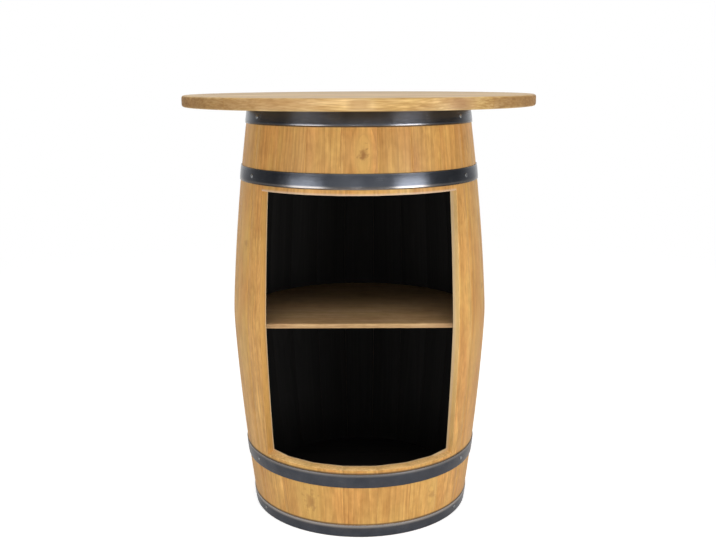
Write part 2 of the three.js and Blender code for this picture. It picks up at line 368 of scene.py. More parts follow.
# The angle round the barrel from the middle of its front, rightwards
def azimuthOf(tree, x, y):
    return maths(tree, "ARCTAN2", x, times(tree, y, -1))


def addBump(tree, shader, height, strength, distance):
    bump = addNode(tree, "Bump", {"Height": height, "Strength": strength, "Distance": distance})
    feed(tree, shader, {"Normal": bump.outputs["Normal"]})


# What all the softwoods share: scales are across and along the grain
wood = {
    "boardShift": (7, 7, 7),
    "noiseRange": (0.3, 0.7),
    "grainRoughness": 0.55,
    "pithScale": 5,
    "pithDepthSpread": 0.05,
    "wobbleScale": (110, 110, 110),
    "wobble": (0.4, 1.6),
    "push": 1.8,  # this and the next three are in radii of the knot
    "pushReach": 4,
    "core": (0.1, 1.1),
    "halo": (0.5, 2.5),
    "unevenScale": 60,
    "uneven": 1.6,
    "latePower": 2.5,
    "lateEnd": 0.9,
    "streakScales": (70, 1.6),
    "blotchScales": (11, 4),
    "fibreScales": (650, 14),
    "fibreRange": (0.25, 0.75),
    "goldScales": (24, 9),
    "goldRange": (0.42, 0.68),
    "calmScales": (9, 5),
    "endFull": 0.95,
    "flatRange": (0.5, 0.9),
    "paintedLightLow": 0.5,
    "sawnCalm": -0.55,
    "sawnFibre": -0.7,
    "sawnRings": -0.2,
    "shadePowers": (0.85, 1.05, 1.35),
    "paintedShadowFrom": 0.001,
    "outerShadeRange": (-0.0022, -0.0008),
    "fibreRoughness": 0.1,
    "lateRoughness": -0.08,
    "stainRoughness": 0.35,
    "ior": 1.45,
    "bumpDistance": 0.0005,
    "lateBump": 0.7,
    "fibreBump": -0.5,
    "stainBump": -0.8,
}


# Softwood: year rings round a pith, streaks, fibres, knots and a tone for each board
def softwood(name, layout, look):
    material, tree, shader = newMaterial(name)
    place = objectPlace(tree)
    across, depth, along, boardNumber, stain, endAxis, sawn, jointAndReflectionLine = layout(tree, place)
    random = addNode(tree, "TexWhiteNoise", {"W": boardNumber}, noise_dimensions="1D").outputs["Color"]
    chance = separated(tree, random)
    inBoard = combined(tree, across, depth, along)
    shifted = vectorMaths(tree, "MULTIPLY_ADD", random, wood["boardShift"], inBoard)

    def grain(scales, detail=2):
        acrossScale, alongScale = scales
        scale = (acrossScale * look["widening"], acrossScale, alongScale)
        scaled = vectorMaths(tree, "MULTIPLY", shifted, scale)
        return noise(tree, scaled, detail=detail, roughness=wood["grainRoughness"])[0]

    # the pith winds along the board
    pithScale = (wood["pithScale"], wood["pithScale"], look["cathedral"])
    winding = noise(tree, vectorMaths(tree, "MULTIPLY", shifted, pithScale), detail=1.5)
    bend = separated(tree, winding["Color"])
    pithAcross = timesPlus(tree, chance[0], look["pithSpread"], -look["pithSpread"] / 2)
    ringAcross = minus(tree, across, pithAcross)
    ringAcross = timesPlus(tree, minus(tree, bend[0], 0.5), look["bend"], ringAcross)
    pithDepth = timesPlus(tree, chance[1], wood["pithDepthSpread"], look["pithDepth"])
    ringDepth = plus(tree, depth, pithDepth)
    ringDepth = timesPlus(tree, minus(tree, bend[1], 0.5), look["bend"], ringDepth)
    depthSquared = maths(tree, "POWER", ringDepth, 2)
    ringPlace = maths(tree, "SQRT", timesPlus(tree, ringAcross, ringAcross, depthSquared))

    # knots push the rings aside and are dark in their middle
    knotDark = knotNear = 0
    wobble = noise(tree, vectorMaths(tree, "MULTIPLY", shifted, wood["wobbleScale"]))[0]
    wobble = ranged(tree, wobble, *wood["noiseRange"], *wood["wobble"])
    for knotPlace, radius, share in look["knots"]:
        offKnot = vectorMaths(tree, "SUBTRACT", place, knotPlace)
        offKnot = vectorMaths(tree, "MULTIPLY", offKnot, look["knotStretch"])
        distance = times(tree, vectorMaths(tree, "LENGTH", offKnot), wobble)
        offFlow = vectorMaths(tree, "LENGTH", vectorMaths(tree, "MULTIPLY", offKnot, look["knotFlow"]))
        push, pushReach = radius * wood["push"], radius * wood["pushReach"]
        ringPlace = plus(tree, ringPlace, smoothed(tree, offFlow, 0, pushReach, push, 0))
        core = [radius * part for part in wood["core"]]
        dark = smoothed(tree, distance, *core, share, 0)
        halo = [radius * part for part in wood["halo"]]
        near = smoothed(tree, offFlow, *halo, 1, 0)
        knotDark = maths(tree, "MAXIMUM", knotDark, dark)
        knotNear = maths(tree, "MAXIMUM", knotNear, near)

    # each ring darkens slowly to its late wood and ends at once
    uneven = noise(tree, combined(tree, ringPlace, 0, 0), scale=wood["unevenScale"], detail=1)
    ringCount = maths(tree, "DIVIDE", ringPlace, look["ringSpacing"])
    phase = maths(tree, "FRACT", timesPlus(tree, uneven[0], wood["uneven"], ringCount))
    ringEnd = smoothed(tree, phase, wood["lateEnd"], 1, 1, 0)
    lateWood = times(tree, maths(tree, "POWER", phase, wood["latePower"]), ringEnd)

    # streaks, warm and golden patches and fibres
    streak = ranged(tree, grain(wood["streakScales"], detail=3), *wood["noiseRange"])
    blotch = ranged(tree, grain(wood["blotchScales"], detail=3), *wood["noiseRange"])
    fibre = ranged(tree, grain(wood["fibreScales"]), *wood["fibreRange"])
    golden = ranged(tree, grain(wood["goldScales"]), *wood["goldRange"], 0, look["goldShare"])
    colour = blended(tree, streak, look["light"], look["mid"])
    colour = blended(tree, times(tree, blotch, look["blotchShare"]), colour, look["warm"])
    colour = blended(tree, golden, colour, look["gold"])

    # sawn ends take their own colour: dark end grain on the table, deepened towards the edge's sides as
    # painted shade, and pale on the barrel as painted light on the sill, under the lintel and on the stave
    # ends; sawn sides are paler, partly as raw wood and partly as painted light, and the stave right of the
    # opening is painted lighter still
    facing = addNode(tree, "NewGeometry", {}).outputs["Normal"]
    alongGrain = maths(tree, "ABSOLUTE", vectorMaths(tree, "DOT_PRODUCT", facing, endAxis))
    endGrain = smoothed(tree, alongGrain, look["endFrom"], wood["endFull"])
    colour = blended(tree, times(tree, endGrain, look["endShare"]), colour, look["endGrainLightAndShadeColour"])
    paintedLight = maths(tree, "COMPARE", boardNumber, look["paintedLightBoard"], 0.5)
    paintedLight = times(tree, paintedLight, ranged(tree, along, *look["paintedLightRise"], wood["paintedLightLow"], 1))
    sawnAndLitColour = blended(tree, paintedLight, look["sawnAndLitColour"], look["paintedLightColour"])
    colour = blended(tree, times(tree, sawn, look["sawnAndLitShare"]), colour, sawnAndLitColour)

    # light and dark figure in several sizes, deeper in colour where it is dark
    shade = 1
    lively = ranged(tree, grain(wood["calmScales"]), *wood["noiseRange"], look["calm"], look["lively"])
    flat = ranged(tree, maths(tree, "ABSOLUTE", separated(tree, facing)[2]), *wood["flatRange"])
    lively = times(tree, lively, timesPlus(tree, flat, look["flatFigure"] - 1, 1))
    lively = times(tree, lively, timesPlus(tree, sawn, wood["sawnCalm"], 1))
    for *scales, amount in look["figure"]:
        shade = timesPlus(tree, times(tree, minus(tree, grain(scales), 0.5), lively), amount, shade)
    shades = [maths(tree, "POWER", shade, power) for power in wood["shadePowers"]]
    colour = blended(tree, 1, colour, combined(tree, *shades), "MULTIPLY")

    # rings and fibres, and each board's own tone
    ringShare = timesPlus(tree, endGrain, look["endRings"] - look["ringShare"], look["ringShare"])
    # fewer dark rings and fibres on the sawn sides, lightening them as painted light
    ringShare = timesPlus(tree, sawn, wood["sawnRings"], ringShare)
    fibreShare = timesPlus(tree, sawn, wood["sawnFibre"] * look["fibreShare"], look["fibreShare"])
    colour = blended(tree, times(tree, lateWood, ringShare), colour, look["dark"])
    colour = blended(tree, times(tree, fibre, fibreShare), colour, look["dark"])
    tone = timesPlus(tree, chance[2], look["toneRange"], 1 - look["toneRange"] / 2)
    colour = blended(tree, 1, colour, combined(tree, tone, tone, tone), "MULTIPLY")

    # painted patches of light and shade, knots, dark joints along board edges, a painted reflection line
    # over the opening, and painted shadow on the wood above the lower hoops
    for lightAndShadePlace, radius, share, lightAndShadeColour in look["patches"]:
        offLightAndShade = vectorMaths(tree, "DISTANCE", place, lightAndShadePlace)
        patch = smoothed(tree, offLightAndShade, 0, radius, share, 0)
        colour = blended(tree, times(tree, patch, minus(tree, 1, flat)), colour, lightAndShadeColour)
    colour = blended(tree, times(tree, knotNear, look["knotHalo"]), colour, look["gold"])
    colour = blended(tree, knotDark, colour, look["knotColour"])
    colour = blended(tree, times(tree, jointAndReflectionLine, look["jointAndReflectionShare"]), colour, look["jointAndReflectionColour"])
    for level in look["paintedShadowLevels"]:
        offEdge = apartFrom(tree, along, level)
        reaches = (wood["paintedShadowFrom"], look["paintedShadowReach"])
        paintedShadow = smoothed(tree, offEdge, *reaches, look["paintedShadowShare"], 0)
        colour = blended(tree, paintedShadow, colour, look["paintedShadowColour"])

    # a sawn face gets a painted highlight towards its inner arris and painted shade at its outer one
    reach = timesPlus(tree, paintedLight, look["paintedLightReach"], look["innerHighlightReach"] - wall)
    atInnerHighlight = ranged(tree, depth, reach, -wall, 0, look["innerHighlight"])
    isCut = maths(tree, "MAXIMUM", sawn, endGrain)
    colour = blended(tree, times(tree, isCut, atInnerHighlight), colour, look["arrisHighlightColour"])
    atOuterShade = ranged(tree, depth, *wood["outerShadeRange"], 0, look["outerShade"])
    colour = blended(tree, times(tree, sawn, atOuterShade), colour, look["dark"])

    # gloss, relief and the black stain of the inside, darkened past any stain into painted shade
    roughness = timesPlus(tree, fibre, wood["fibreRoughness"], look["roughness"])
    roughness = timesPlus(tree, lateWood, wood["lateRoughness"], roughness)
    roughness = plus(tree, roughness, look["edgeRoughness"])
    roughness = timesPlus(tree, flat, -look["edgeRoughness"], roughness)
    height = timesPlus(tree, lateWood, wood["lateBump"], times(tree, fibre, wood["fibreBump"]))
    colour = blended(tree, stain, colour, blended(tree, streak, look["stainLight"], look["stainDark"]))
    roughness = timesPlus(tree, stain, wood["stainRoughness"], roughness)
    height = times(tree, height, timesPlus(tree, stain, wood["stainBump"], 1))
    feed(tree, shader, {"Base Color": colour, "Roughness": roughness})
    feed(tree, shader, {"IOR": wood["ior"], "Specular IOR Level": look["specular"]})
    addBump(tree, shader, height, look["bumpStrength"], wood["bumpDistance"])
    return material


# Where the finishes and the painted light and shade on a board begin and end
fades = {
    "innerFace": (0.0002, 0.0006),  # out from the inner face
    "inGroove": (0.0065, 0.0075),  # out from the inner face
    "grooveMouth": (0.0065, 0.0068),  # from the groove's middle
    "headFace": (0.0225, 0.0235),  # from the barrel's end
    "openingEnd": 0.0002,  # past the sill or lintel
    "sawnFace": (0.0009, 0.0012),  # from the opening's side planes
    "lintelReflection": (0.0005, 0.0055),  # from the lintel
    "boardLine": (0.0008, 0.0002),  # in from the board's edge
}


# Where a point is in its stave, which is set radially and has its grain upright
def staveLayout(tree, place):
    x, y, z = separated(tree, place)
    azimuth = azimuthOf(tree, x, y)
    number = maths(tree, "ROUND", maths(tree, "DIVIDE", azimuth, stavePitch))
    inStave = minus(tree, azimuth, times(tree, number, stavePitch))
    radius = maths(tree, "SQRT", timesPlus(tree, x, x, times(tree, y, y)))
    across = times(tree, radius, maths(tree, "SINE", inStave))
    reach = times(tree, radius, maths(tree, "COSINE", inStave))
    count = barrel["staveCount"]
    boardNumber = maths(tree, "FLOORED_MODULO", plus(tree, number, count), count)

    # depth is 0 on the outer face and minus the wall on the inner face
    rise = apartFrom(tree, z, bellyHeight)
    rounding = barrel["bellyRounding"]
    run = minus(tree, maths(tree, "SQRT", timesPlus(tree, rise, rise, rounding**2)), rounding)
    straight = times(tree, run, narrowing * barrel["straightShare"] / fullRun)
    bowShare = narrowing * (1 - barrel["straightShare"]) / bellyHeight**2
    bow = times(tree, times(tree, rise, rise), bowShare)
    outer = minus(tree, barrel["bellyRadius"], plus(tree, straight, bow))
    depth = minus(tree, reach, outer)

    # the inside is stained between the heads, with the grooves that hold them
    fromInner = plus(tree, depth, wall)
    inside = ranged(tree, fromInner, *fades["innerFace"], 1, 0)
    inGroove = ranged(tree, fromInner, *fades["inGroove"], 1, 0)
    fromEnd = maths(tree, "MINIMUM", z, minus(tree, fullHeight, z))
    offGroove = apartFrom(tree, fromEnd, stave["crozeMiddle"])
    atGroove = ranged(tree, offGroove, *fades["grooveMouth"], 1, 0)
    inside = maths(tree, "MAXIMUM", inside, times(tree, inGroove, atGroove))
    stain = times(tree, inside, ranged(tree, fromEnd, *fades["headFace"]))

    # the saw cut at the front, and a painted pale line over the opening for light the upper hoop reflects
    # onto the wood
    isFront = maths(tree, "LESS_THAN", y, 0)
    aside = timesPlus(tree, y, openingSlope, maths(tree, "ABSOLUTE", x))
    offPlane = apartFrom(tree, aside, openingHalf(0))
    half = openingHeight / 2
    offMiddle = apartFrom(tree, z, openingMiddle)
    inOpening = times(tree, ranged(tree, offMiddle, half, half + fades["openingEnd"], 1, 0), isFront)
    sawn = times(tree, inOpening, ranged(tree, offPlane, *fades["sawnFace"], 1, 0))
    overOpening = times(tree, maths(tree, "LESS_THAN", aside, openingHalf(0)), isFront)
    offLintel = apartFrom(tree, z, opening["lintel"])
    atLintelReflection = smoothed(tree, offLintel, *fades["lintelReflection"], 1, 0)
    return across, depth, z, boardNumber, stain, (0, 0, 1), sawn, times(tree, overOpening, atLintelReflection)


# Where a point is in a row of boards of one width
def boardLayout(alongAxis, acrossAxis, width, start, middleHeight, isStained=False):
    def layout(tree, place):
        parts = separated(tree, place)
        counted = maths(tree, "DIVIDE", minus(tree, parts[acrossAxis], start), width)
        boardNumber = maths(tree, "FLOOR", counted)
        across = times(tree, minus(tree, maths(tree, "FRACT", counted), 0.5), width)
        depth = minus(tree, parts[2], middleHeight)
        stain = 1 if isStained else 0
        endAxis = tuple(1 if axis == alongAxis else 0 for axis in range(3))
        lineFrom, lineTo = [width / 2 - fade for fade in fades["boardLine"]]
        jointAndReflectionLine = ranged(tree, maths(tree, "ABSOLUTE", across), lineFrom, lineTo)
        return across, depth, parts[alongAxis], boardNumber, stain, endAxis, 0, jointAndReflectionLine

    return layout


def onBarrel(degrees, height):
    angle = math.radians(degrees)
    radius = bulgeRadius(height)
    return (radius * math.sin(angle), -radius * math.cos(angle), height)


barrelLook = {
    "light": (0.68, 0.4, 0.122, 1),
    "mid": (0.54, 0.28, 0.07, 1),
    "warm": (0.63, 0.275, 0.072, 1),
    "gold": (0.62, 0.388, 0.108, 1),
    "dark": (0.31, 0.14, 0.034, 1),
    # pale end colour: painted light on the sill, under the lintel and on the stave ends
    "endGrainLightAndShadeColour": (0.97, 0.62, 0.25, 1),
    # sawn sides a little paler as raw wood and as painted light; the stave right of the opening is painted
    # lighter still, fading lower down
    "sawnAndLitColour": (0.74, 0.41, 0.125, 1),
    "paintedLightColour": (1, 0.7, 0.3, 1),
    "paintedLightBoard": 3,  # the stave right of the opening
    "paintedLightRise": (0.19, 0.36),
    # painted highlight along the inner arris of cut faces, wider on the stave right of the opening, and
    # painted shade at the outer arris of the sawn sides
    "arrisHighlightColour": (0.97, 0.76, 0.5, 1),
    "innerHighlightReach": 0.0055,
    "paintedLightReach": 0.011,
    "innerHighlight": 0.85,
    "outerShade": 0.3,
    "knotColour": (0.24, 0.085, 0.022, 1),
    # black stain inside, made near-black beyond a stain's colour as painted shade for the dim inside
    "stainLight": (0.0056, 0.0048, 0.0044, 1),
    "stainDark": (0.002, 0.0017, 0.0016, 1),
    "blotchShare": 0.6,
    "goldShare": 0.55,
    "sawnAndLitShare": 0.8,
    "calm": 0.5,
    "lively": 1.3,
    "flatFigure": 1,
    "widening": 1,
    # a painted pale line over the opening, below the upper hoop, for light the hoop reflects onto the wood
    "jointAndReflectionShare": 0.65,
    "jointAndReflectionColour": (0.64, 0.5, 0.39, 1),
    # painted light and shade: a pale patch at the front middle of the top band, a darker one to its right,
    # and darker ones on the bottom band
    "patches": (
        # place, radius, share, colour
        (onBarrel(0, 0.75), 0.055, 0.3, (0.74, 0.46, 0.17, 1)),
        (onBarrel(27, 0.745), 0.075, 0.3, (0.46, 0.22, 0.055, 1)),
        (onBarrel(-24, 0.072), 0.08, 0.25, (0.44, 0.22, 0.055, 1)),
        (onBarrel(4, 0.072), 0.07, 0.2, (0.44, 0.21, 0.055, 1)),
    ),
    "figure": (
        # scale across and along the grain, amount
        (16, 9, 0.6),
        (45, 26, 0.45),
        (130, 70, 0.5),
        (280, 24, 0.75),
    ),
    "ringShare": 0.5,
    "endRings": 0.2,
    "fibreShare": 0.26,
    "toneRange": 0.08,
    "knotHalo": 0.5,
    # painted shadow on the wood just above the two lower hoops
    "paintedShadowLevels": (0.027, 0.138),
    "paintedShadowColour": (0.13, 0.075, 0.035, 1),
    "paintedShadowReach": 0.0035,
    "paintedShadowShare": 0.75,
    "endShare": 0.95,
    "endFrom": 0.55,
    "ringSpacing": 0.0042,
    "pithSpread": 0.07,
    "pithDepth": 0.035,
    "bend": 0.022,
    "cathedral": 1.6,
    "roughness": 0.38,
    "specular": 0.36,
    "edgeRoughness": 0,
    "bumpStrength": 0.25,
    "knotStretch": (1, 1, 0.75),
    "knotFlow": (1, 1, 0.35),
    "knots": (
        # place, radius, share
        (onBarrel(2.2, 0.745), 0.009, 0.7),
        (onBarrel(-61, 0.565), 0.01, 0.4),
        (onBarrel(-25, 0.071), 0.016, 0.45),
        (onBarrel(38, 0.072), 0.008, 0.4),
        (onBarrel(72, 0.47), 0.008, 0.6),
        (onBarrel(118, 0.33), 0.011, 0.6),
        (onBarrel(149, 0.61), 0.008, 0.55),
        (onBarrel(-132, 0.21), 0.01, 0.6),
        (onBarrel(-101, 0.69), 0.008, 0.5),
        (onBarrel(178, 0.42), 0.009, 0.6),
        (onBarrel(-160, 0.74), 0.008, 0.5),
    ),
}
barrelWood = softwood("barrelWood", staveLayout, barrelLook)

plainLook = {**barrelLook, "paintedShadowLevels": (), "jointAndReflectionShare": 0, "patches": (), "knots": ()}
battenWood = softwood("battenWood", boardLayout(1, 0, 0.18, -0.18, 0.814), plainLook)
stainedWood = softwood("stainedWood", boardLayout(0, 1, 0.1, -0.25, 0, isStained=True), plainLook)

tableLook = {
    **plainLook,
    "light": (0.74, 0.54, 0.275, 1),
    "mid": (0.6, 0.385, 0.155, 1),
    "warm": (0.56, 0.325, 0.11, 1),
    "gold": (0.68, 0.46, 0.145, 1),
    "dark": (0.36, 0.18, 0.05, 1),
    # dark end grain at the edge's sides, deepened as painted shade where the edge turns away
    "endGrainLightAndShadeColour": (0.2, 0.105, 0.042, 1),
    "endShare": 0.85,
    "endFrom": 0.2,
    "figure": (
        (16, 6, 0.5),
        (60, 12, 0.7),
        (170, 14, 1.1),
        (400, 24, 1),
    ),
    "endRings": 0.5,
    "toneRange": 0.22,
    "jointAndReflectionShare": 0.55,
    "jointAndReflectionColour": (0.36, 0.18, 0.05, 1),
    # painted shade on the edge's left and right, and a painted light at its front middle
    "patches": (
        ((-0.125, -0.327, 0.836), 0.11, 0.6, (0.36, 0.19, 0.075, 1)),
        ((-0.215, -0.276, 0.836), 0.07, 0.35, (0.36, 0.19, 0.075, 1)),
        ((0.172, -0.305, 0.836), 0.05, 0.8, (0.36, 0.2, 0.095, 1)),
        ((0.002, -0.35, 0.836), 0.035, 0.35, (0.86, 0.68, 0.42, 1)),
    ),
    "edgeRoughness": 0.25,
    "flatFigure": 0.6,
    "widening": 0.45,
    "pithSpread": 0.05,
    "pithDepth": 0.06,
    "bend": 0.024,
    "cathedral": 1.8,
    "roughness": 0.36,
    "specular": 0.18,
    "calm": 0.8,
    "knotStretch": (0.7, 1, 1),
    "knotFlow": (0.35, 1, 1),
    "knots": (
        ((-0.19, 0.12, 0.847), 0.01, 0.7),
        ((0.17, -0.05, 0.847), 0.009, 0.7),
        ((0.05, 0.27, 0.847), 0.008, 0.6),
        ((-0.08, -0.21, 0.847), 0.007, 0.55),
    ),
}
tableWood = softwood("tableWood", boardLayout(0, 1, 0.091, -0.35, 0.836), tableLook)

shelfLook = {
    **plainLook,
    "light": (0.58, 0.39, 0.215, 1),
    "mid": (0.46, 0.295, 0.145, 1),
    "warm": (0.46, 0.265, 0.12, 1),
    "gold": (0.51, 0.335, 0.14, 1),
    "dark": (0.28, 0.15, 0.07, 1),
}
shelfWood = softwood("shelfWood", boardLayout(0, 1, 0.12, -0.145, 0.4055), shelfLook)

# What the steels share: rolling lines, cloudy patches and specks
metal = {
    "rollRound": 1.5,
    "rollAcross": 900,
    "rollRange": (0.3, 0.7),
    "rollShare": 0.25,
    "patchScale": 26,
    "patchRange": (0.35, 0.7),
    "speckScale": 420,
    "speckRange": (0.62, 0.75),
    "noiseRoughness": 0.6,
    "wornAndHighlightCore": 0.3,
    "patchRoughness": 0.04,
    "rollRoughness": 0.04,
    "ior": 1.5,
    "bumpStrength": 0.2,
    "bumpDistance": 0.0003,
    "patchBump": 0.8,
    "rollBump": 0.2,
}


def steel(name, look):
    material, tree, shader = newMaterial(name)
    place = objectPlace(tree)
    x, y, z = separated(tree, place)
    around = times(tree, azimuthOf(tree, x, y), metal["rollRound"])
    rolled = noise(tree, combined(tree, around, 0, times(tree, z, metal["rollAcross"])), detail=3)
    patches = noise(tree, place, scale=metal["patchScale"], detail=4, roughness=metal["noiseRoughness"])
    specks = noise(tree, place, scale=metal["speckScale"], roughness=metal["noiseRoughness"])
    patch = ranged(tree, patches[0], *metal["patchRange"])
    speck = ranged(tree, specks[0], *metal["speckRange"])
    roll = ranged(tree, rolled[0], *metal["rollRange"])
    colour = blended(tree, patch, look["dark"], look["light"])
    colour = blended(tree, times(tree, roll, metal["rollShare"]), colour, look["light"])
    colour = blended(tree, times(tree, speck, look["speckShare"]), colour, look["worn"])
    # lighter edges: steel worn bare along them, and painted highlight on the rolled lips and upper edges
    for level, reach, share, wornAndHighlightColour in look["wornAndHighlightEdges"]:
        offEdge = apartFrom(tree, z, level)
        wornAndHighlight = smoothed(tree, offEdge, reach * metal["wornAndHighlightCore"], reach, share, 0)
        colour = blended(tree, wornAndHighlight, colour, wornAndHighlightColour)
    roughness = timesPlus(tree, patch, metal["patchRoughness"], look["roughness"])
    roughness = timesPlus(tree, roll, metal["rollRoughness"], roughness)
    feed(tree, shader, {"Base Color": colour, "Roughness": roughness})
    feed(tree, shader, {"Metallic": 1, "IOR": metal["ior"]})
    height = timesPlus(tree, patch, metal["patchBump"], times(tree, roll, metal["rollBump"]))
    addBump(tree, shader, height, metal["bumpStrength"], metal["bumpDistance"])
    return material


hoopLook = {
    "dark": (0.07, 0.077, 0.094, 1),
    "light": (0.104, 0.112, 0.13, 1),
    "worn": (0.16, 0.155, 0.15, 1),
    "speckShare": 0.25,
    "roughness": 0.21,
    # lighter hoop edges: partly steel worn bare, partly painted highlight on the lips
    "wornAndHighlightEdges": (
        # level, reach, share, colour
        (0.027, 0.0085, 1, (0.4, 0.385, 0.37, 1)),
        (0.138, 0.008, 0.95, (0.25, 0.235, 0.225, 1)),
        (0.682, 0.0075, 0.95, (0.215, 0.195, 0.18, 1)),
        (0.793, 0.006, 0.95, (0.175, 0.16, 0.15, 1)),
        (0.711, 0.004, 0.4, (0.22, 0.21, 0.2, 1)),
        (0.822, 0.004, 0.4, (0.22, 0.21, 0.2, 1)),
    ),
}
hoopSteel = steel("hoopSteel", hoopLook)

nailLook = {
    "dark": (0.2, 0.21, 0.22, 1),
    "light": (0.34, 0.35, 0.36, 1),
    "worn": (0.12, 0.1, 0.09, 1),
    "speckShare": 0.3,
    "roughness": 0.35,
    "wornAndHighlightEdges": (),
}
nailSteel = steel("nailSteel", nailLook)
print("materials made")


# Staves: the profile is shaped row by row and spun through one stave's share of the circle
def modelStave():
    belly = barrel["bellyRadius"]
    piece = addProfile("staveMaster", 0, fullHeight, belly - wall / 2, wall)
    lowLevels = [stave["chimeBevel"]]
    for part in (-stave["crozeMouth"], -stave["crozeFloor"], stave["crozeFloor"], stave["crozeMouth"]):
        lowLevels.append(stave["crozeMiddle"] + part)
    levels = set(lowLevels) | {fullHeight - level for level in lowLevels}
    for rise in stave["rises"]:
        levels |= {bellyHeight - rise, bellyHeight + rise}

    startEdit(piece)
    for level in sorted(levels):
        cutLevel(level)
    for level in sorted(levels | {0, fullHeight}):
        pickVerts(piece, lambda co: isAt(co.z, level))
        moveBy(0, belly - bulgeRadius(level), 0)
    isInward = lambda co: co.y > -bulgeRadius(co.z) + wall / 2
    for middle in (stave["crozeMiddle"], fullHeight - stave["crozeMiddle"]):
        pickVerts(piece, lambda co: isAt(abs(co.z - middle), stave["crozeFloor"]) and isInward(co))
        moveBy(0, -stave["crozeDepth"], 0)
    pickVerts(piece, lambda co: min(co.z, fullHeight - co.z) < samePlace and isInward(co))
    moveBy(0, -stave["chimeBevel"], 0)

    turn = stavePitch - stave["jointGap"] / belly
    selectAll()
    spinRound(stave["columns"], turn)
    endEdit()
    turnPiece(piece, -turn / 2)
    angles = [math.atan2(vert.co.x, -vert.co.y) for vert in piece.data.vertices]
    turnPiece(piece, -sum(angles) / len(angles))

    # the inner face is planed flat
    startEdit(piece)
    isInner = lambda co: isAt(math.hypot(co.x, co.y), bulgeRadius(co.z) - wall)
    for column in range(stave["columns"] + 1):
        angle = turn * (column / stave["columns"] - 0.5)
        grow = 1 / math.cos(angle)
        pickVerts(piece, lambda co: isInner(co) and isAt(math.atan2(co.x, -co.y), angle, sameAngle))
        stretch(grow, grow, 1)
    tidyMesh()

    # the outer arris along each joint is broken
    isSide = lambda co: isAt(abs(math.atan2(co.x, -co.y)), turn / 2, sameAngle)
    isOuter = lambda co: isAt(math.hypot(co.x, co.y), bulgeRadius(co.z))
    pickEdges(piece, lambda co: isSide(co) and isOuter(co), lambda a, b: abs(a.z - b.z) > 0.0001)
    bevelEdges(stave["arris"], 2)
    endEdit()
    smoothByAngle(piece)
    return piece


# What the saw leaves of a stave above or below the opening, with both long arrises broken
def modelShortStave(master, name, level, keepBelow):
    piece = addCopy(master, name)
    startEdit(piece)
    cutLevel(level, keepBelow, not keepBelow)
    pickEdges(piece, lambda co: isAt(co.z, level), lambda a, b: abs(a.x - b.x) > 2 * abs(a.y - b.y))
    bevelEdges(opening["arris"], 2)
    return closeEdit(piece, threshold=samePlace)


def modelOpeningBlock():
    front = opening["blockFront"]
    bpy.ops.mesh.primitive_cube_add(size=1, location=(0, -front / 2, openingMiddle))
    block = bpy.context.object
    block.name = "openingBlock"
    block.scale = (1, front, openingHeight)
    applyPlace(block)
    startEdit(block)
    for y in (-front, 0):
        pickVerts(block, lambda co: isAt(co.y, y))
        stretch(2 * openingHalf(y), 1, 1, (0, y, 0))
    tidyMesh()
    endEdit()
    return block


def notch(piece, block):
    activate(piece)
    cut = piece.modifiers.new("opening", "BOOLEAN")
    cut.operation = "DIFFERENCE"
    cut.solver = "EXACT"
    cut.object = block
    bpy.ops.object.modifier_apply(modifier=cut.name)
    onSide = lambda co: isAt(abs(co.x), openingHalf(co.y), 0.00003)
    inBand = lambda co: opening["sill"] - samePlace < co.z < opening["lintel"] + samePlace
    startEdit(piece)
    pickEdges(piece, lambda co: onSide(co) and inBand(co), lambda a, b: abs(a.z - b.z) > 0.0005)
    bevelEdges(opening["sideArris"], 2)
    closeEdit(piece, threshold=samePlace)


staveMaster = modelStave()
shortStaves = {
    "lower": modelShortStave(staveMaster, "lowerStaveMaster", opening["sill"], True),
    "upper": modelShortStave(staveMaster, "upperStaveMaster", opening["lintel"], False),
}
openingBlock = modelOpeningBlock()
staveNumbers = [("front", 0), ("back", 11)]
for number in range(1, 11):
    staveNumbers += [(f"left_{number}", -number), (f"right_{number}", number)]
for side, number in staveNumbers:
    turn = number * stavePitch
    if abs(number) < 3:
        for level, short in shortStaves.items():
            node = f"{level}_stave_{side}"
            piece = addCopy(short, camelName(node), turn)
            finishPiece(piece, barrelWood, "barrel_wood", node)
        continue
    node = f"stave_{side}"
    piece = addCopy(staveMaster, camelName(node), turn)
    if abs(number) == 3:
        notch(piece, openingBlock)
    finishPiece(piece, barrelWood, "barrel_wood", node)
for helper in (staveMaster, openingBlock, *shortStaves.values()):
    removePiece(helper)
print("staves made")

# Hoops: a crowned strip, spun once round and stepping up onto its own first end at the back
hoop = {
    "thickness": 0.0015,
    "gap": 0.0003,
    "swellSteps": 8,
    "crown": 0.0003,
    "crownShape": ((0, 0), (0.2, 0.7), (0.5, 1), (0.8, 0.7), (1, 0)),  # across the width
    "edgeRounding": 0.00025,
    "edgeLoop": 0.0006,
    "rollRun": 0.006,
    "lowRollDrop": 0.00095,
    "highRollDrop": 0.0007,
    "rollShares": (0, 0.25, 0.5, 0.75, 1),
    "lapDegrees": 10.9,
    "rampDegrees": 5.45,
    "lapStartDegrees": 171.82,
    "turnSteps": 240,
    "rampSteps": 4,
    "lapSteps": 8,
    "bands": {
        "bottom_hoop": (0.001, 0.027),
        "lower_hoop": (0.109, 0.138),
        "upper_hoop": (0.682, 0.711),
        "top_hoop": (0.793, 0.822),
    },
}


# The strip is straight from edge to edge and clears the staves where they swell most
def hoopReach(low, high, height):
    lowRadius, highRadius = bulgeRadius(low), bulgeRadius(high)
    chord = lambda z: lowRadius + (highRadius - lowRadius) * (z - low) / (high - low)
    levels = [low + (high - low) * step / hoop["swellSteps"] for step in range(hoop["swellSteps"] + 1)]
    swell = max(bulgeRadius(level) - chord(level) for level in levels)
    return chord(height) + swell + hoop["gap"]


